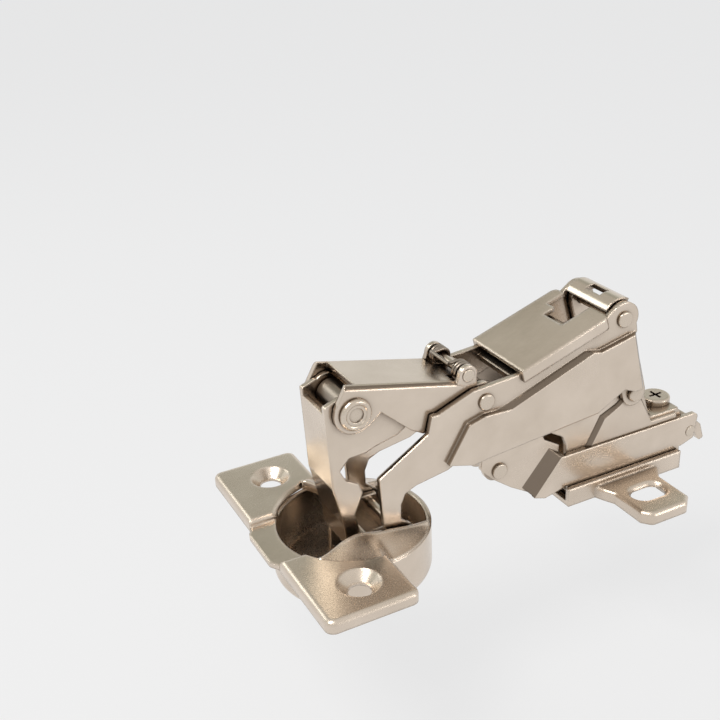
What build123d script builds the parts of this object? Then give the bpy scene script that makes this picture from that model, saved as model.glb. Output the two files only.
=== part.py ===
from build123d import *
import os
from math import cos, sin, radians, hypot

os.makedirs("parts", exist_ok=True)

# Wide-angle concealed cup hinge with its mounting plate, shown half way open.
# Frame: X runs into the cabinet, Y along the pivot pins, Z up from the cabinet side panel.
# Origin: on the panel face, in the middle of the two fixing slots of the mounting plate.

# Sheet and fits
sheet = 1.2
cup_sheet = 1.1
pin_play = 0.06
side_play = 0.2
joggle = 1.2

# Pivots of the linkage in the side view (X, Z)
front_pivot = (-34.9, 14.2)
link_run = -6.0
link_rise = 20.9
rear_pivot = (1.4, 24.6)
cross_pivot = (front_pivot[0] + link_run, front_pivot[1] + link_rise)
crown_pivot = (rear_pivot[0] + link_run, rear_pivot[1] + link_rise)
knuckle_pivot = (-71.2, 40.2)
foot_pivot = (-61.8, 8.3)
heel_pivot = (-69.2, 8.1)
spring_pivot = (-44.4, 41.6)
catch_pivot = (20.6, 8.6)

# Half widths of the nested channels, measured to their outer faces
arm_half = 8.8
knee_half = arm_half - sheet - 0.3
link_half = knee_half - sheet - side_play
rear_link_half = arm_half - sheet - 0.4
plate_half = 8.4
slide_half = plate_half - sheet - side_play
yoke_half = slide_half - sheet - 0.02
ear_half = 5.4
front_link_half = ear_half - sheet - side_play

# Rivets and screw
rivet_r = 1.3
rivet_head_r = 1.9
rivet_head_h = 0.7
slim_rivet_r = 1.0
slim_head_r = 1.45
knuckle_r = 1.7
knuckle_ring_r = 2.5
link_eye_r = 3.2
catch_pin_r = 0.9
screw_x = 14.8
screw_r = 2.0

# Cup and flange
cup_r = 17.5
cup_x = -69.9
cup_floor = -1.9
door_face = 9.3
flange_top = 12.0
flange_left = -90.4
flange_right = -70.1
flange_half = 31.1
hole_x = cup_x - 9.5
hole_half = 22.5
hole_r = 2.4
countersink_r = 4.5
bridge_left = -91.6
bridge_top = 10.5
bridge_half = 8.4
rim_top = 9.8

# Mounting plate
slot_half_pitch = 16.0
slot_r = 2.6
slot_run = 3.4
wing_top = 3.0
plate_front = -17.2
plate_rear = 16.8
plate_wall_top = 4.7


def outline(points, corner=0):
    """Closed side-view profile, all corners rounded alike."""
    with BuildSketch(mode=Mode.PRIVATE) as drawn:
        with BuildLine():
            Polyline(*points, close=True)
        make_face()
        if corner > 0:
            fillet(drawn.vertices(), corner)
    return drawn.sketch


def beside(low, high, along, across):
    """Point measured along a link from its lower pivot and across it to the left."""
    length = hypot(high[0] - low[0], high[1] - low[1])
    ux = (high[0] - low[0]) / length
    uz = (high[1] - low[1]) / length
    return (low[0] + along * ux - across * uz, low[1] + along * uz + across * ux)


def rivet(name, at, shaft_r, half_length, head_r, head_h):
    """Pin along Y with a rounded head on each end."""
    with BuildPart() as pin:
        with BuildSketch(Plane.XZ):
            with Locations(at):
                Circle(shaft_r)
        extrude(amount=half_length, both=True)
        with BuildSketch(Plane.XZ.offset(half_length)):
            with Locations(at):
                Circle(head_r)
        extrude(amount=head_h)
        fillet(pin.faces().sort_by(Axis.Y)[0].edges(), head_h * 0.55)
        mirror(about=Plane.XZ)
    pin.part.label = name
    export_step(pin.part, f"parts/{name}.step")


# Mounting plate: a pressed channel with two slotted wings
with BuildPart() as base_plate:
    with BuildSketch(Plane.XY) as wing_shape:
        with BuildLine():
            Polyline((-9.6, -7.9), (-8.6, -10.2), (-7.2, -13.0), (-7.2, -22.0), (-5.4, -24.2),
                     (4.6, -24.2), (6.9, -22.0), (6.9, -12.2), (10.0, -7.9), close=True)
        make_face()
        fillet(wing_shape.vertices().group_by(Axis.Y)[0], 1.6)
    extrude(amount=wing_top)
    top_rim = base_plate.faces().sort_by(Axis.Z)[-1].edges()
    fillet(top_rim.filter_by(lambda e: e.center().Y < -plate_half), 1.0)
    # the wing is a tray: hollow below, with rolled edges
    with BuildSketch(Plane.XY):
        with BuildLine():
            Polyline((-6.0, -9.7), (-6.0, -21.6), (-4.8, -23.0), (4.1, -23.0), (5.7, -21.6),
                     (5.7, -9.7), close=True)
        make_face()
    extrude(amount=wing_top - sheet, mode=Mode.SUBTRACT)
    mirror(about=Plane.XZ)
    with BuildSketch(Plane.XY):
        with Locations(((plate_front + plate_rear) / 2, 0)):
            Rectangle(plate_rear - plate_front, 2 * plate_half)
    extrude(amount=plate_wall_top)
    with BuildSketch(Plane.XY.offset(sheet)):
        with Locations(((plate_front + plate_rear) / 2, 0)):
            Rectangle(plate_rear - plate_front + 1, 2 * (plate_half - sheet))
    extrude(amount=plate_wall_top, mode=Mode.SUBTRACT)
    # slots with a countersunk lip
    with BuildSketch(Plane.XY.offset(wing_top)):
        with Locations((0, -slot_half_pitch), (0, slot_half_pitch)):
            SlotCenterToCenter(slot_run, 2 * slot_r + 1.6)
    extrude(amount=-1.0, taper=38, mode=Mode.SUBTRACT)
    with BuildSketch(Plane.XY):
        with Locations((0, -slot_half_pitch), (0, slot_half_pitch)):
            SlotCenterToCenter(slot_run, 2 * slot_r)
    extrude(amount=wing_top + 1, mode=Mode.SUBTRACT)
    # rear notch in which the depth screw travels
    with BuildSketch(Plane.XY):
        with Locations((screw_x + 1.0, 0)):
            Rectangle(11.0, 5.6)
    extrude(amount=sheet + 0.4, mode=Mode.SUBTRACT)
base_plate.part.label = "base_plate"
export_step(base_plate.part, "parts/base_plate.step")

# Slide bracket: runs in the mounting plate and narrows through two ramps to the front ears
ramp_low = -27.6
ramp_high = -19.4
slide_top = 13.3
slide_bottom = sheet + 0.25
slide_rear = 22.8
with BuildPart() as slide_bracket:
    # wide rear walls
    with BuildSketch(Plane.XZ.offset(slide_half - sheet)) as wide_wall:
        with BuildLine():
            Polyline((ramp_low + 1.6, 4.6), (ramp_high + 0.6, slide_top), (slide_rear, slide_top),
                     (slide_rear - 1.0, 6.4), (slide_rear - 4.8, 5.2), (plate_rear + 0.6, 5.2),
                     (plate_rear + 0.6, slide_bottom), (plate_front + 1.4, slide_bottom),
                     (plate_front + 0.6, 5.0), (-23.0, 3.6), close=True)
        make_face()
        fillet(wide_wall.vertices().sort_by(Axis.X)[-1], 1.2)
        with Locations(catch_pivot):
            Circle(catch_pin_r, mode=Mode.SUBTRACT)
    extrude(amount=sheet)
    # narrow front ears
    with BuildSketch(Plane.XZ.offset(ear_half - sheet)) as ear:
        with BuildLine():
            Polyline((-39.8, 15.6), (-39.4, 19.2), (-36.4, 21.6), (-24.0, 21.6), (-22.6, 18.4),
                     (ramp_high + 1.0, 15.8), (ramp_high + 1.0, 12.0), (ramp_low + 3.0, 4.4),
                     (-31.6, 8.6), (-36.4, 12.2), close=True)
        make_face()
        fillet(ear.vertices().filter_by(lambda v: v.X < -33), 1.6)
        with Locations(front_pivot):
            Circle(rivet_r, mode=Mode.SUBTRACT)
    extrude(amount=sheet)
    # the ramp between both widths
    with BuildSketch(Plane.XZ.offset(ear_half - 0.6)):
        with BuildLine():
            Polyline((ramp_low - 1.9, 8.6), (ramp_high - 2.9, 16.9), (ramp_high + 1.4, 14.0),
                     (ramp_low + 3.0, 4.4), close=True)
        make_face()
    with BuildSketch(Plane.XZ.offset(slide_half)):
        with BuildLine():
            Polyline((ramp_low + 1.7, 4.7), (ramp_high + 0.9, slide_top - 0.2),
                     (ramp_high + 1.9, slide_top - 0.3), (ramp_low + 3.3, 4.2), close=True)
        make_face()
    loft()
    mirror(about=Plane.XZ)
    # floor between the walls
    with BuildSketch(Plane.XY.offset(slide_bottom)):
        with Locations(((plate_front + plate_rear) / 2 + 1.0, 0)):
            Rectangle(plate_rear - plate_front - 1.2, 2 * slide_half - 0.4)
    extrude(amount=sheet)
    with BuildSketch(Plane.XY.offset(slide_bottom)):
        with Locations((screw_x, 0)):
            Circle(screw_r + 0.1)
    extrude(amount=sheet, mode=Mode.SUBTRACT)
slide_bracket.part.label = "slide_bracket"
export_step(slide_bracket.part, "parts/slide_bracket.step")

# Pivot bracket: inner channel, riveted in the slide bracket, carrying the rear link
yoke_top = 15.6
yoke_floor = slide_bottom + sheet
with BuildPart() as pivot_bracket:
    with BuildSketch(Plane.XZ.offset(yoke_half - sheet)) as yoke:
        with BuildLine():
            Polyline((-16.2, 6.0), (-16.6, 15.4), (-17.6, 17.8), (-21.6, 20.2), (-21.0, 23.0), (-11.0, 24.2),
                     (-2.6, 27.4), (1.4, 28.2), (4.6, 27.0), (5.4, 23.4), (8.0, yoke_top),
                     (16.8, yoke_top), (18.2, 13.8), (18.2, yoke_floor), (-15.2, yoke_floor), close=True)
        make_face()
        fillet(yoke.vertices().group_by(Axis.Z)[-1], 1.5)
        with Locations(rear_pivot):
            Circle(rivet_r, mode=Mode.SUBTRACT)
    extrude(amount=sheet)
    mirror(about=Plane.XZ)
    # bridge that holds the depth screw
    with BuildSketch(Plane.XY.offset(yoke_top - sheet)):
        with Locations((screw_x - 1.6, 0)):
            Rectangle(8.0, 2 * yoke_half - 0.4)
        with Locations((screw_x, 0)):
            Circle(screw_r + 0.08, mode=Mode.SUBTRACT)
    extrude(amount=sheet)
pivot_bracket.part.label = "pivot_bracket"
export_step(pivot_bracket.part, "parts/pivot_bracket.step")

# Depth screw: low head with a cross recess, rolled thread below
screw_head_r = 3.6
screw_head_h = 1.7
screw_tip = 0.5
with BuildPart() as depth_screw:
    with BuildSketch(Plane.XY.offset(yoke_top)):
        with Locations((screw_x, 0)):
            Circle(screw_head_r)
    extrude(amount=screw_head_h)
    fillet(depth_screw.faces().sort_by(Axis.Z)[-1].edges(), 0.6)
    with BuildSketch(Plane.XY.offset(screw_tip)):
        with Locations((screw_x, 0)):
            Circle(screw_r)
    extrude(amount=yoke_top - screw_tip)
    for turn in range(8):
        with BuildSketch(Plane.XY.offset(screw_tip + 3.4 + turn)):
            with Locations((screw_x, 0)):
                Circle(screw_r)
                Circle(screw_r - 0.3, mode=Mode.SUBTRACT)
        extrude(amount=0.45, mode=Mode.SUBTRACT)
    with BuildSketch(Plane.XY.offset(yoke_top + screw_head_h)):
        with Locations((screw_x, 0)):
            Rectangle(3.8, 0.8)
            Rectangle(0.8, 3.8)
    extrude(amount=-1.1, mode=Mode.SUBTRACT)
depth_screw.part.label = "depth_screw"
export_step(depth_screw.part, "parts/depth_screw.step")

# Release catch: rear lever that unclips the arm, turning on its own pin
catch_half = yoke_half - 0.1
with BuildPart() as release_catch:
    with BuildSketch(Plane.XZ) as lever:
        with BuildLine():
            Polyline((19.0, 6.6), (19.0, 10.8), (22.0, 11.6), (25.2, 8.6), (26.6, 4.4),
                     (25.2, 4.0), (23.4, 7.0), (21.4, 5.8), close=True)
        make_face()
        fillet(lever.vertices(), 0.5)
        with Locations(catch_pivot):
            Circle(catch_pin_r + pin_play, mode=Mode.SUBTRACT)
    extrude(amount=catch_half, both=True)
    # thumb hollow in the tail
    with BuildSketch(Plane.YZ.offset(27)):
        with Locations((0, 5.0)):
            Rectangle(5.0, 1.6)
    extrude(amount=-2.6, mode=Mode.SUBTRACT)
release_catch.part.label = "release_catch"
export_step(release_catch.part, "parts/release_catch.step")

# Front link: U-shaped, from the ears up to the crossing rivet
front_length = hypot(link_run, link_rise)
with BuildPart() as front_link:
    with BuildSketch(Plane.XZ):
        with Locations(front_pivot, cross_pivot):
            Circle(link_eye_r)
        make_hull()
    extrude(amount=front_link_half, both=True)
    with BuildSketch(Plane.XZ):
        with Locations(front_pivot, cross_pivot):
            Circle(link_eye_r + 0.6)
        with BuildLine():
            Polyline(beside(front_pivot, cross_pivot, -1, link_eye_r - sheet),
                     beside(front_pivot, cross_pivot, front_length + 1, link_eye_r - sheet),
                     beside(front_pivot, cross_pivot, front_length + 1, -5),
                     beside(front_pivot, cross_pivot, -1, -5), close=True)
        make_face()
    extrude(amount=front_link_half - sheet, both=True, mode=Mode.SUBTRACT)
    with BuildSketch(Plane.XZ.offset(front_link_half)):
        with Locations(front_pivot, cross_pivot):
            Circle(rivet_r + pin_play)
    extrude(amount=-2 * front_link_half, mode=Mode.SUBTRACT)
front_link.part.label = "front_link"
export_step(front_link.part, "parts/front_link.step")

# Rear link: U-shaped, its web curled round the crown rivet
curl_r = 4.6
curl_from = 60
curl_sweep = 90
rear_length = hypot(link_run, link_rise)
with BuildPart() as rear_link:
    with BuildSketch(Plane.XZ):
        with Locations(rear_pivot, crown_pivot):
            Circle(link_eye_r)
        make_hull()
        with BuildLine():
            CenterArc(crown_pivot, curl_r, curl_from, curl_sweep)
            CenterArc(crown_pivot, curl_r, curl_from, curl_sweep)
            start = (crown_pivot[0] + curl_r * cos(radians(curl_from)),
                     crown_pivot[1] + curl_r * sin(radians(curl_from)))
            end = (crown_pivot[0] + curl_r * cos(radians(curl_from + curl_sweep)),
                   crown_pivot[1] + curl_r * sin(radians(curl_from + curl_sweep)))
            Polyline(end, crown_pivot, start)
        make_face()
    extrude(amount=rear_link_half, both=True)
    with BuildSketch(Plane.XZ):
        with Locations(((rear_pivot[0] + crown_pivot[0]) / 2, (rear_pivot[1] + crown_pivot[1]) / 2)):
            Rectangle(40, 50)
        with BuildLine():
            CenterArc(crown_pivot, curl_r - sheet, curl_from, curl_sweep)
            CenterArc(crown_pivot, curl_r + 1, curl_from, curl_sweep)
            for turned in (curl_from, curl_from + curl_sweep):
                inner = (crown_pivot[0] + (curl_r - sheet) * cos(radians(turned)),
                         crown_pivot[1] + (curl_r - sheet) * sin(radians(turned)))
                outer = (crown_pivot[0] + (curl_r + 1) * cos(radians(turned)),
                         crown_pivot[1] + (curl_r + 1) * sin(radians(turned)))
                Line(inner, outer)
        make_face(mode=Mode.SUBTRACT)
    extrude(amount=rear_link_half - sheet, both=True, mode=Mode.SUBTRACT)
    # slot in the curled web
    with BuildSketch(Plane.XY.offset(crown_pivot[1])):
        with Locations((crown_pivot[0] - 0.8, 0)):
            Rectangle(2.6, 5.0)
    extrude(amount=8, mode=Mode.SUBTRACT)
    with BuildSketch(Plane.XZ.offset(rear_link_half)):
        with Locations(rear_pivot, crown_pivot):
            Circle(rivet_r + pin_play)
    extrude(amount=-2 * rear_link_half, mode=Mode.SUBTRACT)
rear_link.part.label = "rear_link"
export_step(rear_link.part, "parts/rear_link.step")

# Arm channel: goose neck, housing flanks and joggled skirts bent from one sheet
skirt = outline([(-50.8, 22.9), (-45.7, 31.2), (-41.6, 32.3), (-38.2, 32.2), (-34.9, 33.2),
                 (-15.1, 40.4), (-11.2, 39.5), (-1.2, 41.7), (2.4, 27.0), (-0.6, 26.8),
                 (-3.9, 28.2), (-11.2, 24.2), (-41.1, 21.6), (-44.6, 21.1)])
neck = outline([(-65.0, 8.0), (-66.4, 12.5), (-67.1, 24.0), (-55.1, 31.3), (-54.2, 35.3),
                (-52.4, 35.3), (-44.1, 38.4), (-32.4, 39.25), (-10.2, 46.4), (-7.4, 48.4),
                (-1.6, 47.6), (-0.6, 41.8), (-1.4, 40.2), (-15.1, 38.4), (-34.9, 31.2),
                (-38.2, 30.4), (-43.6, 29.8), (-47.6, 22.6), (-50.5, 21.2), (-58.4, 19.9),
                (-61.1, 18.7), (-62.2, 16.2), (-62.2, 12.8), (-60.2, 11.0)], 0.45)
with BuildPart() as arm_channel:
    with BuildSketch(Plane.XZ.offset(arm_half - sheet)):
        add(neck)
        with Locations(foot_pivot):
            Circle(link_eye_r)
        with Locations(crown_pivot):
            Circle(4.0)
        with Locations(cross_pivot, crown_pivot):
            Circle(rivet_r, mode=Mode.SUBTRACT)
        with Locations(foot_pivot):
            Circle(slim_rivet_r + pin_play, mode=Mode.SUBTRACT)
    extrude(amount=sheet)
    with BuildSketch(Plane.XZ.offset(arm_half)):
        add(skirt)
    extrude(amount=joggle)
    skirt_rim = arm_channel.faces().sort_by(Axis.Y)[0].edges()
    chamfer(skirt_rim.filter_by(lambda e: e.center().Z > 30 and e.length > 15), 1.0)
    mirror(about=Plane.XZ)
    # web under the cover
    with BuildSketch(Plane.XZ):
        with BuildLine():
            Polyline((-32.4, 36.2), (-32.4, 37.4), (-14.0, 43.4), (-14.0, 42.2), close=True)
        make_face()
    extrude(amount=arm_half - sheet / 2, both=True)
arm_channel.part.label = "arm_channel"
export_step(arm_channel.part, "parts/arm_channel.step")

# Top cover: pressed cap over the housing, open at the rear above the link
cover_front = (-32.4, 40.3)
cover_rear = (-9.7, 47.7)
cover_half = arm_half + 1.0
cover_gauge = 1.0
cover_lip = 2.2
with BuildPart() as top_cover:
    with BuildSketch(Plane.XZ):
        with BuildLine():
            Polyline(cover_front, cover_rear, (cover_rear[0] + 0.9, cover_rear[1] - cover_lip - 0.6),
                     (cover_front[0] + 0.7, cover_front[1] - cover_lip - 0.6), close=True)
        make_face()
    extrude(amount=cover_half, both=True)
    upper = top_cover.faces().sort_by(Axis.Z)[-1]
    fillet(upper.edges().filter_by(lambda e: abs(e.center().Y) > cover_half - 0.1), 1.5)
    with BuildSketch(Plane.XZ):
        with BuildLine():
            Polyline((cover_front[0] - 2, cover_front[1] - cover_gauge - 0.66),
                     (cover_rear[0] + 4, cover_rear[1] - cover_gauge + 1.3),
                     (cover_rear[0] + 4, 38), (cover_front[0] - 2, 34), close=True)
        make_face()
    extrude(amount=arm_half + 0.04, both=True, mode=Mode.SUBTRACT)
    # cut-out with a stepped front, open to the rear
    with BuildSketch(Plane.XY.offset(40)):
        with BuildLine():
            Polyline((-17.4, -3.2), (-17.4, 3.6), (-14.4, 3.6), (-14.4, 6.4), (-8.0, 6.4),
                     (-8.0, -3.2), close=True)
        make_face()
    extrude(amount=10, mode=Mode.SUBTRACT)
top_cover.part.label = "top_cover"
export_step(top_cover.part, "parts/top_cover.step")

# Intermediate arm: folded channel between the knuckle and the crossing rivet
slope_drop = 0.231
with BuildPart() as intermediate_arm:
    with BuildSketch(Plane.XZ):
        add(outline([(-72.8, 46.7), (-46.4, 40.6), (-42.9, 38.5), (-37.4, 35.0), (-39.4, 31.6),
                     (-45.4, 30.0), (-55.6, 31.0), (-58.4, 32.6), (-65.3, 38.9), (-67.9, 36.8),
                     (-71.2, 35.8), (-75.2, 38.0), (-75.5, 42.0)]))
    extrude(amount=knee_half, both=True)
    ridge = intermediate_arm.faces().filter_by(Axis.Y).edges()
    fillet(ridge.filter_by(lambda e: e.length > 20 and e.center().Z > 42), 1.3)
    with BuildSketch(Plane.XZ):
        with Locations(knuckle_pivot):
            Circle(4.5)
        with Locations(cross_pivot):
            Circle(3.9)
        with Locations(spring_pivot):
            Circle(2.2)
        with BuildLine():
            Polyline((-47.2, 40.2), (-46.2, 42.6), (-42.4, 41.0), (-42.0, 37.6), close=True)
        make_face()
    extrude(amount=knee_half, both=True)
    with BuildSketch(Plane.XZ):
        with BuildLine():
            Polyline((-85, 52), (-70.6, 52), (-70.6, 44.95), (-47.6, 44.95 - 23.0 * slope_drop),
                     (-47.6, 52), (-30, 52), (-30, 20), (-85, 20), close=True)
        make_face()
    extrude(amount=knee_half - sheet, both=True, mode=Mode.SUBTRACT)
    # tongue between the spring coils
    with BuildSketch(Plane.XZ):
        with BuildLine():
            Polyline((-49.0, 39.97), (-49.0, 41.17), (-43.4, 39.88), (-43.4, 38.68), close=True)
        make_face()
    extrude(amount=3.0, both=True)
    with BuildSketch(Plane.XZ.offset(knee_half)):
        with Locations(knuckle_pivot):
            Circle(knuckle_r)
        with Locations(cross_pivot):
            Circle(rivet_r + pin_play)
        with Locations(spring_pivot):
            Circle(slim_rivet_r)
    extrude(amount=-2 * knee_half, mode=Mode.SUBTRACT)
intermediate_arm.part.label = "intermediate_arm"
export_step(intermediate_arm.part, "parts/intermediate_arm.step")

# Cup link: channel with its web on the door side and an open hook round the heel pin
with BuildPart() as cup_link:
    with BuildSketch(Plane.XZ):
        add(outline([(-77.3, 42.4), (-74.0, 43.6), (-66.9, 41.2), (-58.8, 33.0), (-61.0, 31.6),
                     (-66.4, 30.4), (-68.4, 29.6), (-72.4, 29.4), (-74.6, 27.0), (-73.2, 24.2),
                     (-70.4, 22.6), (-69.6, 20.3), (-71.6, 15.5), (-70.6, 10.4), (-70.6, 6.6),
                     (-66.8, 6.6), (-66.8, 5.2), (-72.4, 5.2), (-73.8, 8.0), (-74.3, 13.5),
                     (-76.5, 23.0)], 0.4))
        with Locations(knuckle_pivot):
            Circle(4.2)
    extrude(amount=link_half, both=True)
    with BuildSketch(Plane.XZ):
        with BuildLine():
            Polyline((-85, 40.6), (-76.1, 40.6), (-75.3, 23.0), (-73.1, 13.5), (-72.6, 8.4),
                     (-71.8, 6.4), (-60.0, 6.4), (-50, 30), (-50, 50), (-85, 50), close=True)
        make_face()
    extrude(amount=link_half - sheet, both=True, mode=Mode.SUBTRACT)
    with BuildSketch(Plane.XZ.offset(link_half)):
        with Locations(knuckle_pivot):
            Circle(knuckle_r + pin_play)
    extrude(amount=-2 * link_half, mode=Mode.SUBTRACT)
cup_link.part.label = "cup_link"
export_step(cup_link.part, "parts/cup_link.step")

# Knuckle pin with its ringed ends, and the bush round it
with BuildPart() as knuckle_pin:
    with BuildSketch(Plane.XZ):
        with Locations(knuckle_pivot):
            Circle(knuckle_r)
    extrude(amount=knee_half + 0.5, both=True)
    with BuildSketch(Plane.XZ.offset(knee_half)):
        with Locations(knuckle_pivot):
            Circle(knuckle_ring_r)
            Circle(knuckle_r - 0.1, mode=Mode.SUBTRACT)
    extrude(amount=0.8)
    mirror(about=Plane.XZ)
knuckle_pin.part.label = "knuckle_pin"
export_step(knuckle_pin.part, "parts/knuckle_pin.step")

bush_r = 3.1
bush_half = link_half - sheet - 0.15
with BuildPart() as knuckle_bush:
    with BuildSketch(Plane.XZ):
        with Locations(knuckle_pivot):
            Circle(bush_r)
            Circle(knuckle_r + pin_play, mode=Mode.SUBTRACT)
    extrude(amount=bush_half, both=True)
    chamfer(knuckle_bush.edges().filter_by(GeomType.CIRCLE).group_by(Axis.Y)[0], 0.3)
    chamfer(knuckle_bush.edges().filter_by(GeomType.CIRCLE).group_by(Axis.Y)[-1], 0.3)
knuckle_bush.part.label = "knuckle_bush"
export_step(knuckle_bush.part, "parts/knuckle_bush.step")

# Cup and flange, deep drawn from one blank
cup_inner_r = cup_r - cup_sheet
with BuildPart() as cup_shell:
    with BuildSketch(Plane.XY.offset(door_face)) as wing:
        with BuildLine():
            Polyline((flange_left, -bridge_half + 0.4), (flange_left, -flange_half),
                     (flange_right, -flange_half), (flange_right, -bridge_half + 0.4), close=True)
        make_face()
        fillet(wing.vertices().group_by(Axis.Y)[0], 2.0)
    extrude(amount=flange_top - door_face)
    wing_rim = cup_shell.faces().sort_by(Axis.Z)[-1].edges()
    fillet(wing_rim, 1.1)
    # raised tray: open below
    with BuildSketch(Plane.XY.offset(door_face)):
        with Locations(((flange_left + flange_right) / 2, -(flange_half + bridge_half) / 2 - 0.4)):
            RectangleRounded(flange_right - flange_left - 2 * cup_sheet,
                             flange_half - bridge_half - 2 * cup_sheet, 1.4)
        with Locations((hole_x, -hole_half)):
            Circle(countersink_r + 1.0, mode=Mode.SUBTRACT)
    extrude(amount=flange_top - door_face - cup_sheet, mode=Mode.SUBTRACT)
    mirror(about=Plane.XZ)
    # lowered bridge on the side where the arm folds back
    with BuildSketch(Plane.XY.offset(door_face)) as bridge:
        with BuildLine():
            Polyline((bridge_left, -5.6), (bridge_left, 5.6), (-89.4, bridge_half + 0.6),
                     (-78.0, bridge_half + 0.6), (-78.0, -bridge_half - 0.6),
                     (-89.4, -bridge_half - 0.6), close=True)
        make_face()
        fillet(bridge.vertices().group_by(Axis.X)[0], 2.0)
    extrude(amount=bridge_top - door_face)
    # drawn cup
    with BuildSketch(Plane.XY.offset(cup_floor)):
        with Locations((cup_x, 0)):
            Circle(cup_r)
    extrude(amount=rim_top - cup_floor)
    fillet(cup_shell.faces().sort_by(Axis.Z)[0].edges(), 2.4)
    with BuildSketch(Plane.XY.offset(cup_floor + cup_sheet)) as well:
        with Locations((cup_x, 0)):
            Circle(cup_inner_r)
    extrude(amount=flange_top, mode=Mode.SUBTRACT)
    fillet(cup_shell.edges().filter_by(GeomType.CIRCLE)
           .filter_by(lambda e: abs(e.center().Z - cup_floor - cup_sheet) < 0.01), 1.4)
    # rounded entry of the mouth through the raised wings
    with BuildSketch(Plane.XY.offset(flange_top)):
        with Locations((cup_x, 0)):
            Circle(cup_inner_r + 0.9)
    extrude(amount=-0.9, taper=45, mode=Mode.SUBTRACT)
    # countersunk screw holes
    with Locations(Plane.XY.offset(flange_top)):
        with Locations((hole_x, -hole_half), (hole_x, hole_half)):
            CounterSinkHole(hole_r, countersink_r, counter_sink_angle=90)
cup_shell.part.label = "cup_shell"
export_step(cup_shell.part, "parts/cup_shell.step")

# Pin carrier: U-shaped bracket on the cup floor holding foot and heel pins
carrier_floor = cup_floor + cup_sheet
with BuildPart() as pin_carrier:
    with BuildSketch(Plane.XZ.offset(knee_half - sheet)):
        with BuildLine():
            Polyline((-72.6, carrier_floor), (-72.0, 7.2), (-70.4, 10.2), (-68.0, 10.4),
                     (-63.0, 10.6), (-60.4, 10.4), (-59.4, 8.0), (-58.6, carrier_floor), close=True)
        make_face()
        with Locations(foot_pivot, heel_pivot):
            Circle(slim_rivet_r, mode=Mode.SUBTRACT)
    extrude(amount=sheet)
    mirror(about=Plane.XZ)
    with BuildSketch(Plane.XY.offset(carrier_floor)):
        with Locations((-65.6, 0)):
            Rectangle(12.6, 2 * knee_half - 0.4)
    extrude(amount=1.0)
pin_carrier.part.label = "pin_carrier"
export_step(pin_carrier.part, "parts/pin_carrier.step")

# Closing spring: double torsion spring on its pin
wire_r = 0.4
coil_r = 1.85
coil_start = knee_half - sheet - 2.7
coil_run = 2.0
coil_pitch = 0.88
leg_run = 2.6
with BuildPart() as closing_spring:
    with BuildLine() as winding:
        helix = Helix(coil_pitch, coil_run, coil_r, center=(spring_pivot[0], coil_start, spring_pivot[1]),
                      direction=(0, 1, 0))
    with BuildSketch(Plane(origin=helix @ 0, z_dir=helix % 0)):
        Circle(wire_r)
    sweep(path=winding.wires()[0])
    # outer leg, then the inner leg that runs to the bow
    with BuildSketch(Plane(origin=helix @ 1, z_dir=helix % 1)):
        Circle(wire_r)
    extrude(amount=leg_run)
    bow_end = (helix @ 0) - (helix % 0) * leg_run
    with BuildSketch(Plane(origin=helix @ 0, z_dir=helix % 0)):
        Circle(wire_r)
    extrude(amount=-leg_run)
    mirror(about=Plane.XZ)
    with BuildSketch(Plane.XZ):
        with Locations((bow_end.X, bow_end.Z)):
            Circle(wire_r)
    extrude(amount=bow_end.Y + wire_r, both=True)
closing_spring.part.label = "closing_spring"
export_step(closing_spring.part, "parts/closing_spring.step")

# Rivets and pins
rivet("front_link_pin", front_pivot, rivet_r, ear_half, rivet_head_r, rivet_head_h)
rivet("rear_link_pin", rear_pivot, rivet_r, rear_link_half + 0.1, rivet_head_r, 0.9)
rivet("crossing_pin", cross_pivot, rivet_r, arm_half, rivet_head_r, rivet_head_h)
rivet("crown_pin", crown_pivot, rivet_r, arm_half, rivet_head_r, rivet_head_h)
rivet("spring_pin", spring_pivot, slim_rivet_r, knee_half, slim_head_r, 0.25)
rivet("foot_pin", foot_pivot, slim_rivet_r, arm_half + 0.1, slim_head_r, 0.5)
rivet("heel_pin", heel_pivot, slim_rivet_r, knee_half, slim_head_r, 0.25)
rivet("catch_pin", catch_pivot, catch_pin_r, slide_half, 1.4, 0.15)
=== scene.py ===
import bpy
from math import cos, exp, pi, radians, sin, sqrt
from mathutils import Matrix, Vector


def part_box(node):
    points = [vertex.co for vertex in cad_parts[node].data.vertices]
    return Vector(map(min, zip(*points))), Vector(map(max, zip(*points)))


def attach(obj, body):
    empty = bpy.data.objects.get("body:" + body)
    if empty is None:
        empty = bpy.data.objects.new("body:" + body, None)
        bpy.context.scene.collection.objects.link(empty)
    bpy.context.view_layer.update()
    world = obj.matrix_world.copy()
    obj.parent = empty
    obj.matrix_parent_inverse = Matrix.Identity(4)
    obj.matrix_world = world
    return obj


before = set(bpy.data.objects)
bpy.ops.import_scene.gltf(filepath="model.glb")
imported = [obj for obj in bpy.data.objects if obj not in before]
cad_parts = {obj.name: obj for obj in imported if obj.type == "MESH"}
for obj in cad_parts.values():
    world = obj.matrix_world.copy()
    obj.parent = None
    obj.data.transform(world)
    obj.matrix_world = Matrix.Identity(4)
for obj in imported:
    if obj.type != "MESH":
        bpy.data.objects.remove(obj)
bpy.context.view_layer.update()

# Plating tones and painted shade tones, linear RGB
NICKEL = (0.75, 0.648, 0.548)
NICKEL_DEEP = (0.65, 0.555, 0.460)
RIVET = (0.70, 0.61, 0.51)
SPRING = (0.36, 0.31, 0.26)
# painted shade: dark tone mixed in where walls stand close together
CREVICE_SHADE = (0.13, 0.092, 0.062)
# painted shade: dark tone for flanks that lean sideways
FLANK_SHADE = (0.15, 0.110, 0.078)

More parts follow.
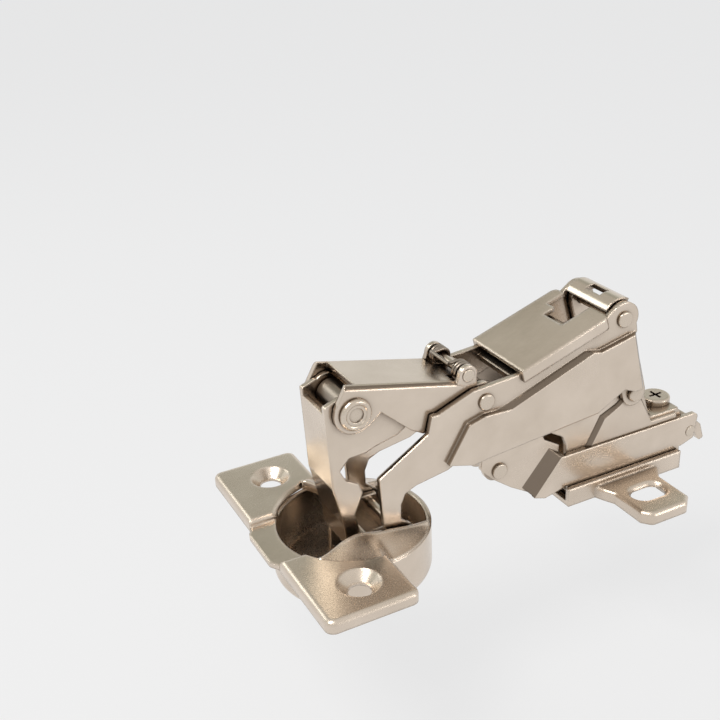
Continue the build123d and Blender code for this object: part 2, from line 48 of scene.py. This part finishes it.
# Grain of the plating: noise scales per metre and heights in metres; reach of the painted crevice
# shade in metres
BLOTCH_SCALE = 90.0
SPECK_SCALE = 2600.0
DENT_SCALE = 420.0
SPECK_HEIGHT_SHARE = 0.35
BUMP_HEIGHT = 0.00012
CREVICE_SHADE_REACH = 0.006

# Painted shade on slanted flanks: sideways part of the normal on a flank that leans about 45
# degrees, and how far it may differ
SHADED_SLANT = 0.70
SHADED_SLANT_SPREAD = 0.24

# Sheared edges of the CAD pieces, metres
SHEET_EDGE = 0.00018
CUP_EDGE = 0.00015
RIVET_EDGE = 0.0001
SHEARED_ANGLE = radians(35)

# Studio
BACKDROP = (0.80, 0.80, 0.80)
BACKDROP_SHOWN = (0.86, 0.86, 0.865)
FLOOR_Z = -0.038  # under the lowest reach of the cup with the door wide open
FLOOR_SIZE = 60.0
FLOOR_EVENED = 0.82  # share of the floor's look that is plain backdrop; the rest keeps the shadow
AMBIENT = (0.80, 0.81, 0.80)
AMBIENT_STRENGTH = 0.75
FRONT_SIDE = (0.80, 0.79, 0.77)
# What metal mirrors on the far side: (height of the direction, tone)
FAR_SIDE = ((0.00, BACKDROP_SHOWN), (0.44, (0.78, 0.81, 0.78)), (0.52, (0.36, 0.385, 0.335)),
            (0.60, (0.38, 0.39, 0.34)), (0.68, (0.68, 0.67, 0.62)), (0.78, (0.42, 0.42, 0.39)),
            (0.90, (0.80, 0.79, 0.76)), (1.00, (0.60, 0.60, 0.58)))
LAMPS_AIM = (-0.03, 0.0, 0.02)

# Camera of the photograph
LENS_MM = 53.28
SENSOR_MM = 36.0
CAMERA_AT = (-0.152295, -0.175483, 0.143283)
CAMERA_RIGHT = (0.88642, -0.46111, -0.04055)
CAMERA_UP = (0.23314, 0.36906, 0.89970)
CAMERA_BACK = (-0.39989, -0.80696, 0.43463)
SHIFT_X = -0.0034
SHIFT_Y = -0.0066

# Sockets of a colour Mix node
MIX_FACTOR, MIX_A, MIX_B, MIX_RESULT = 0, 6, 7, 2

SIDES = ((-1, "near"), (1, "far"))


def node(tree, kind, **inputs):
    """New node with values set on its named inputs; an underscore stands for a space."""
    made = tree.nodes.new(kind)
    for name, value in inputs.items():
        made.inputs[name.replace("_", " ")].default_value = value
    return made


def arithmetic(tree, operation, *values):
    """Output of a Math node; each value is a number to set or a socket to link."""
    made = tree.nodes.new("ShaderNodeMath")
    made.operation = operation
    for socket, value in zip(made.inputs, values):
        if isinstance(value, (int, float)):
            socket.default_value = value
        else:
            tree.links.new(value, socket)
    return made.outputs["Value"]


def colour_mix(tree, factor, first, second):
    """Output of a colour Mix node; first and second are RGB tuples or sockets to link."""
    made = tree.nodes.new("ShaderNodeMix")
    made.data_type = "RGBA"
    tree.links.new(factor, made.inputs[MIX_FACTOR])
    for index, value in ((MIX_A, first), (MIX_B, second)):
        if isinstance(value, tuple):
            made.inputs[index].default_value = (*value, 1)
        else:
            tree.links.new(value, made.inputs[index])
    return made.outputs[MIX_RESULT]


def colour_ramp(tree, factor, stops):
    """Output of a colour ramp over (position, RGB) stops, given from low to high."""
    made = tree.nodes.new("ShaderNodeValToRGB")
    tree.links.new(factor, made.inputs["Fac"])
    elements = made.color_ramp.elements
    for element, (position, colour) in zip(elements, (stops[0], stops[-1])):
        element.position = position
        element.color = (*colour, 1)
    for position, colour in stops[1:-1]:
        elements.new(position).color = (*colour, 1)
    return made.outputs["Color"]


# Plating

def blotchy_tone(tree, place, bright, deep):
    """Soft blotches between the deep and the bright tone."""
    blotch = node(tree, "ShaderNodeTexNoise", Scale=BLOTCH_SCALE, Detail=3.0, Roughness=0.55)
    tree.links.new(place.outputs["Object"], blotch.inputs["Vector"])
    return colour_ramp(tree, blotch.outputs["Fac"], ((0.25, deep), (0.7, bright)))


def paint_flank_shade(tree, place, tone, strength):
    """Painted shade: darkens the slanted flanks of joggles and ramps, picked out by which way
    their normals face.
    """
    parts = tree.nodes.new("ShaderNodeSeparateXYZ")
    tree.links.new(place.outputs["Normal"], parts.inputs["Vector"])
    sideways = arithmetic(tree, "ABSOLUTE", parts.outputs["Y"])
    shaded_slant = arithmetic(tree, "COMPARE", sideways, SHADED_SLANT, SHADED_SLANT_SPREAD)
    share = arithmetic(tree, "MULTIPLY", shaded_slant, strength)
    return colour_mix(tree, share, tone, FLANK_SHADE)


def paint_crevice_shade(tree, tone, strength):
    """Painted shade: darkens the tone where walls stand close together, by ambient occlusion."""
    crevice_occlusion = node(tree, "ShaderNodeAmbientOcclusion", Distance=CREVICE_SHADE_REACH)
    crevice_occlusion.samples = 8
    crevice_shade_depth = node(tree, "ShaderNodeMapRange", From_Min=0.30, From_Max=0.94,
                 To_Min=strength, To_Max=0.0)
    tree.links.new(crevice_occlusion.outputs["AO"], crevice_shade_depth.inputs["Value"])
    return colour_mix(tree, crevice_shade_depth.outputs["Result"], tone, CREVICE_SHADE)


def worn_roughness(tree, speck, roughness, edge_wear):
    """Speckled roughness, smoother on the crests that get rubbed."""
    rough = node(tree, "ShaderNodeMapRange", To_Min=roughness - 0.06, To_Max=roughness + 0.10)
    tree.links.new(speck, rough.inputs["Value"])
    surface = tree.nodes.new("ShaderNodeNewGeometry")
    crest = node(tree, "ShaderNodeMapRange", From_Min=0.52, From_Max=0.62,
                 To_Min=0.0, To_Max=edge_wear)
    tree.links.new(surface.outputs["Pointiness"], crest.inputs["Value"])
    return arithmetic(tree, "SUBTRACT", rough.outputs["Result"], crest.outputs["Result"])


def grainy_normal(tree, place, speck, grain, roll):
    """Normal with rolled edges of radius roll, and specks and dents of strength grain."""
    dent = node(tree, "ShaderNodeTexNoise", Scale=DENT_SCALE, Detail=2.0, Roughness=0.5)
    tree.links.new(place.outputs["Object"], dent.inputs["Vector"])
    relief = arithmetic(tree, "MULTIPLY_ADD", speck, SPECK_HEIGHT_SHARE, dent.outputs["Fac"])
    bump = node(tree, "ShaderNodeBump", Strength=grain, Distance=BUMP_HEIGHT)
    tree.links.new(relief, bump.inputs["Height"])
    rolled = node(tree, "ShaderNodeBevel", Radius=roll)
    rolled.samples = 6
    tree.links.new(rolled.outputs["Normal"], bump.inputs["Normal"])
    return bump.outputs["Normal"]


def plated(name, bright, deep, roughness, grain, edge_wear, roll, crevice_shade=1.0, flank_shade=0.0):
    """Nickel plate over pressed steel: fine grain, soft blotches, rolled edges, painted shade in
    crevices and, when asked, on slanted flanks.
    """
    material = bpy.data.materials.new(name)
    material.use_nodes = True
    tree = material.node_tree
    shader = tree.nodes["Principled BSDF"]
    shader.inputs["Metallic"].default_value = 1.0
    place = tree.nodes.new("ShaderNodeTexCoord")

    tone = blotchy_tone(tree, place, bright, deep)
    if flank_shade > 0:
        tone = paint_flank_shade(tree, place, tone, flank_shade)
    tree.links.new(paint_crevice_shade(tree, tone, crevice_shade), shader.inputs["Base Color"])

    specks = node(tree, "ShaderNodeTexNoise", Scale=SPECK_SCALE, Detail=4.0, Roughness=0.7)
    tree.links.new(place.outputs["Object"], specks.inputs["Vector"])
    speck = specks.outputs["Fac"]
    tree.links.new(worn_roughness(tree, speck, roughness, edge_wear), shader.inputs["Roughness"])
    tree.links.new(grainy_normal(tree, place, speck, grain, roll), shader.inputs["Normal"])
    return material


def dress(names, material, edge_width):
    """Gives CAD nodes their finish, and breaks their sheared edges."""
    for name in names:
        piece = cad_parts[name]
        piece.data.materials.clear()
        piece.data.materials.append(material)
        if edge_width > 0:
            edge = piece.modifiers.new("sheared_edge", "BEVEL")
            edge.width = edge_width
            edge.segments = 2
            edge.limit_method = "ANGLE"
            edge.angle_limit = SHEARED_ANGLE
            edge.harden_normals = True
            edge.use_clamp_overlap = True


# Each finish paints shade into its crevices; the sheet finish also paints shade on slanted flanks
sheet_finish = plated("nickel_sheet", NICKEL, NICKEL_DEEP,
                      roughness=0.28, grain=0.14, edge_wear=0.10, roll=0.0006, flank_shade=0.85)
cover_finish = plated("nickel_cover", NICKEL, NICKEL_DEEP,
                      roughness=0.26, grain=0.18, edge_wear=0.10, roll=0.0010)
cup_finish = plated("nickel_drawn", NICKEL, NICKEL_DEEP,
                    roughness=0.26, grain=0.12, edge_wear=0.10, roll=0.0009, crevice_shade=0.15)
rivet_finish = plated("nickel_rivet", RIVET, NICKEL_DEEP,
                      roughness=0.24, grain=0.20, edge_wear=0.08, roll=0.0003)
spring_finish = plated("spring_wire", SPRING, SPRING,
                       roughness=0.32, grain=0.20, edge_wear=0.0, roll=0.0001)

dress(["slide_bracket", "pivot_bracket", "release_catch", "arm_channel", "intermediate_arm",
       "front_link", "rear_link", "cup_link", "pin_carrier"], sheet_finish, SHEET_EDGE)
dress(["top_cover", "base_plate"], cover_finish, SHEET_EDGE)
dress(["cup_shell"], cup_finish, CUP_EDGE)
dress(["front_link_pin", "rear_link_pin", "catch_pin", "crossing_pin", "crown_pin",
       "knuckle_pin", "spring_pin", "foot_pin", "heel_pin", "depth_screw"],
      rivet_finish, RIVET_EDGE)
dress(["closing_spring", "knuckle_bush"], spring_finish, 0.0)


# Pressed and riveted details, in millimetres

def mesh_piece(name, points, faces, material, body, smooth):
    """A scene piece from points in millimetres, riding on a body of the frame."""
    mesh = bpy.data.meshes.new(name)
    mesh.from_pydata([tuple(value / 1000 for value in point) for point in points], [], faces)
    mesh.validate()
    mesh.materials.append(material)
    for face in mesh.polygons:
        face.use_smooth = smooth
    made = bpy.data.objects.new(name, mesh)
    bpy.context.scene.collection.objects.link(made)
    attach(made, body)
    return made


def rolled_ring(name, centre, side, profile, body):
    """Ring turned from (radius, height) pairs round a pin along Y; side is -1 near, +1 far."""
    turns = 72
    rows = len(profile)
    points = []
    for step in range(turns):
        angle = 2 * pi * step / turns
        for radius, height in profile:
            points.append((centre[0] + radius * cos(angle), side * height,
                           centre[1] + radius * sin(angle)))
    faces = []
    for step in range(turns):
        onward = (step + 1) % turns
        for row in range(rows):
            up = (row + 1) % rows
            quad = (step * rows + row, step * rows + up, onward * rows + up, onward * rows + row)
            faces.append(quad if side < 0 else quad[::-1])
    return mesh_piece(name, points, faces, rivet_finish, body, True)


def pressed_step(name, foot, crest, low, high, side, body):
    """Pad standing out of a wall, from its foot outline to its crest outline (X, Z pairs)."""
    count = len(foot)
    points = [(x, side * low, z) for x, z in foot] + [(x, side * high, z) for x, z in crest]
    faces = [tuple(range(count)), tuple(range(2 * count - 1, count - 1, -1))]
    for index in range(count):
        onward = (index + 1) % count
        faces.append((index, count + index, count + onward, onward))
    if side < 0:
        faces = [face[::-1] for face in faces]
    return mesh_piece(name, points, faces, sheet_finish, body, False)


SUNK = 0.1  # how far a detail starts inside the wall that it stands on

# Rolled heads of the knuckle pin, wide rings round its flush ends
KNUCKLE = (-71.2, 40.2)
knee_face = 1000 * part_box("intermediate_arm")[1].y
ring_profile = [(2.10, knee_face - SUNK), (3.50, knee_face - SUNK), (3.52, knee_face + 0.30),
                (3.44, knee_face + 0.66), (3.22, knee_face + 0.96), (2.90, knee_face + 1.10),
                (2.58, knee_face + 1.06), (2.32, knee_face + 0.90), (2.16, knee_face + 0.70)]
for side, place in SIDES:
    rolled_ring("knuckle_rolled_head_" + place, KNUCKLE, side, ring_profile, "knee")

# Pressed steps on the inner channel of the bracket, behind its ramps
STEP_HEIGHT = 0.75
STEP_FOOT = [(-11.4, 13.3), (-7.4, 20.6), (-2.6, 22.6), (2.0, 26.2),
             (5.2, 21.4), (8.4, 15.0), (16.0, 15.0), (16.6, 13.3)]
STEP_CREST = [(-9.8, 13.3), (-6.3, 19.6), (-2.1, 21.8), (1.9, 25.2),
              (4.7, 21.0), (8.1, 14.7), (15.8, 14.7), (16.2, 13.3)]
wall_face = 1000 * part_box("pivot_bracket")[1].y
for side, place in SIDES:
    pressed_step("bracket_pressed_step_" + place, STEP_FOOT, STEP_CREST,
                 wall_face - SUNK, wall_face + STEP_HEIGHT, side, "bracket")

# Domed shoulders of the cup, beside the pocket that the links fold into
CUP_X = -69.9
SHOULDER_R = 17.35
SHOULDER_END = -56.0  # arm side
SHOULDER_SHEET = 0.0004  # metres, as the modifier takes it
POCKET_HALF = 9.6
POCKET_DEPTH = 2.5
# The tray is the part that lies on the wing; past TRAY_X the shoulder leaves it for the cup's wall
TRAY_X, TRAY_FADE = -72.0, 3.6
TRAY_TOP = 12.0
TRAY_DIP = 0.14
TRAY_REACH = 0.8  # beyond the shoulder's radius
WALL_TOP = 9.85
# Crest along the pocket: it swells before the cup's middle and falls off toward the arm
CREST_LIFT = 0.1
SWELL_X, SWELL_RUN, SWELL_RISE = -73.5, 4.2, 1.3
FALL_X, FALL_RUN, FALL_DROP = -69.0, 12.0, 1.2
DOME_POWER = 1.5
DOME_FULLNESS = 0.6
# Where the pocket's edge leaves the cup's round: start, settled place, and how far it swings out
NEAR_EDGE = (-83.2, -76.0, 1.8)
FAR_EDGE = (-74.6, -70.6, 5.6)


def smooth_rise(value):
    """Smooth step from 0 to 1 while the value goes from 0 to 1."""
    value = min(max(value, 0.0), 1.0)
    return value * value * (3 - 2 * value)


def shoulder_point(along, across, mouth_edge):
    """Point of the near shoulder; along: door to arm side, across: pocket to wall, both 0 to 1."""
    start, settled, swing = mouth_edge
    x = start + (SHOULDER_END - start) * along
    on_tray = 1 - smooth_rise((x - TRAY_X) / TRAY_FADE)
    inner = -POCKET_HALF - swing * smooth_rise((settled - x) / (settled - start))
    radius = SHOULDER_R + TRAY_REACH * on_tray
    outer = -sqrt(max(radius ** 2 - (x - CUP_X) ** 2, inner * inner))
    swell = SWELL_RISE * exp(-((x - SWELL_X) / SWELL_RUN) ** 2)
    crest = TRAY_TOP + CREST_LIFT + swell - FALL_DROP * smooth_rise((x - FALL_X) / FALL_RUN)
    edge = (TRAY_TOP - TRAY_DIP) * on_tray + WALL_TOP * (1 - on_tray)
    dome = (1 - across) ** DOME_POWER * (1 + DOME_FULLNESS * across)
    return x, inner + (outer - inner) * across, edge + (crest - edge) * dome


def cup_shoulder(name, side, mouth_edge):
    """Domed sheet over one side of the cup, with the pocket wall that hangs from its edge."""
    rows, columns = 56, 16
    points = []
    faces = []
    for row in range(rows + 1):
        for column in range(columns + 1):
            x, y, z = shoulder_point(row / rows, column / columns, mouth_edge)
            points.append((x, -side * y, z))
    for row in range(rows):
        for column in range(columns):
            first = row * (columns + 1) + column
            faces.append((first, first + 1, first + columns + 2, first + columns + 1))
    wall = len(points)
    for row in range(rows + 1):
        x, y, z = shoulder_point(row / rows, 0, mouth_edge)
        points.append((x, -side * y, z))
        points.append((x, -side * y, z - POCKET_DEPTH))
    for row in range(rows):
        first = wall + 2 * row
        faces.append((first, first + 2, first + 3, first + 1))
    if side > 0:
        faces = [face[::-1] for face in faces]
    made = mesh_piece(name, points, faces, cup_finish, "cup", True)
    thick = made.modifiers.new("sheet", "SOLIDIFY")
    thick.thickness = SHOULDER_SHEET
    thick.offset = -1


cup_shoulder("cup_shoulder_near", -1, NEAR_EDGE)
cup_shoulder("cup_shoulder_far", 1, FAR_EDGE)


# Studio

def seen_or_mirrored(tree):
    """1 for camera, glossy and transmission rays, 0 for the rest."""
    path = tree.nodes.new("ShaderNodeLightPath").outputs
    either = arithmetic(tree, "MAXIMUM", path["Is Camera Ray"], path["Is Glossy Ray"])
    return arithmetic(tree, "MAXIMUM", either, path["Is Transmission Ray"])


def pale_floor():
    """Pale paint that keeps the shadow, evened out where camera and metal see it."""
    material = bpy.data.materials.new("pale_floor")
    material.use_nodes = True
    tree = material.node_tree
    paint = tree.nodes["Principled BSDF"]
    paint.inputs["Base Color"].default_value = (*BACKDROP, 1)
    paint.inputs["Roughness"].default_value = 0.9
    paint.inputs["Specular IOR Level"].default_value = 0.0
    plain = node(tree, "ShaderNodeEmission", Color=(*BACKDROP_SHOWN, 1), Strength=1.0)
    evened = tree.nodes.new("ShaderNodeMixShader")
    share = arithmetic(tree, "MULTIPLY", seen_or_mirrored(tree), FLOOR_EVENED)
    tree.links.new(share, evened.inputs[0])
    tree.links.new(paint.outputs["BSDF"], evened.inputs[1])
    tree.links.new(plain.outputs["Emission"], evened.inputs[2])
    output = tree.nodes["Material Output"]
    tree.links.new(evened.outputs["Shader"], output.inputs["Surface"])
    return material


def studio_world():
    """Even ambient light; the camera sees the pale backdrop, metal a graded far side."""
    made = bpy.data.worlds.new("studio")
    made.use_nodes = True
    tree = made.node_tree
    ambient = tree.nodes["Background"]
    ambient.inputs["Color"].default_value = (*AMBIENT, 1)
    ambient.inputs["Strength"].default_value = AMBIENT_STRENGTH
    direction = tree.nodes.new("ShaderNodeTexCoord")
    axes = tree.nodes.new("ShaderNodeSeparateXYZ")
    tree.links.new(direction.outputs["Generated"], axes.inputs["Vector"])
    grade = colour_ramp(tree, axes.outputs["Z"], FAR_SIDE)
    facing = node(tree, "ShaderNodeMapRange", From_Min=-0.25, From_Max=0.35,
                  To_Min=0.0, To_Max=1.0)
    tree.links.new(axes.outputs["Y"], facing.inputs["Value"])
    mirrored = colour_mix(tree, facing.outputs["Result"], FRONT_SIDE, grade)
    to_camera = tree.nodes.new("ShaderNodeLightPath").outputs["Is Camera Ray"]
    surround = node(tree, "ShaderNodeBackground", Strength=1.0)
    tree.links.new(colour_mix(tree, to_camera, mirrored, BACKDROP_SHOWN),
                   surround.inputs["Color"])
    split = tree.nodes.new("ShaderNodeMixShader")
    tree.links.new(seen_or_mirrored(tree), split.inputs[0])
    tree.links.new(ambient.outputs["Background"], split.inputs[1])
    tree.links.new(surround.outputs["Background"], split.inputs[2])
    tree.links.new(split.outputs["Shader"], tree.nodes["World Output"].inputs["Surface"])
    return made


def softbox(name, at, width, height, power, tint):
    """Rectangular lamp turned toward the hinge; sizes in metres, power in watts."""
    lamp = bpy.data.lights.new(name, "AREA")
    lamp.shape = "RECTANGLE"
    lamp.size = width
    lamp.size_y = height
    lamp.energy = power
    lamp.color = tint
    made = bpy.data.objects.new(name, lamp)
    made.location = at
    made.rotation_euler = (Vector(LAMPS_AIM) - Vector(at)).to_track_quat("-Z", "Y").to_euler()
    bpy.context.scene.collection.objects.link(made)


bpy.ops.mesh.primitive_plane_add(size=FLOOR_SIZE, location=(0, 0, FLOOR_Z))
floor = bpy.context.object
floor.name = "floor"
floor.data.materials.append(pale_floor())
bpy.context.scene.world = studio_world()

softbox("key", (-0.34, -0.06, 0.52), 0.20, 0.26, 1.9, (1.0, 0.98, 0.95))
softbox("fill", (0.40, -0.62, 0.16), 0.30, 0.16, 0.8, (1.0, 0.97, 0.94))
softbox("rim", (-0.30, 0.42, 0.34), 0.22, 0.14, 0.24, (0.98, 1.0, 0.98))

lens = bpy.data.cameras.new("photo_camera")
lens.lens = LENS_MM
lens.sensor_width = SENSOR_MM
lens.shift_x = SHIFT_X
lens.shift_y = SHIFT_Y
lens.clip_start = 0.01
camera = bpy.data.objects.new("photo_camera", lens)
bpy.context.scene.collection.objects.link(camera)
turn = Matrix((CAMERA_RIGHT, CAMERA_UP, CAMERA_BACK)).transposed().to_4x4()
camera.matrix_world = Matrix.Translation(CAMERA_AT) @ turn
bpy.context.scene.camera = camera
bpy.context.scene.view_settings.view_transform = "Standard"
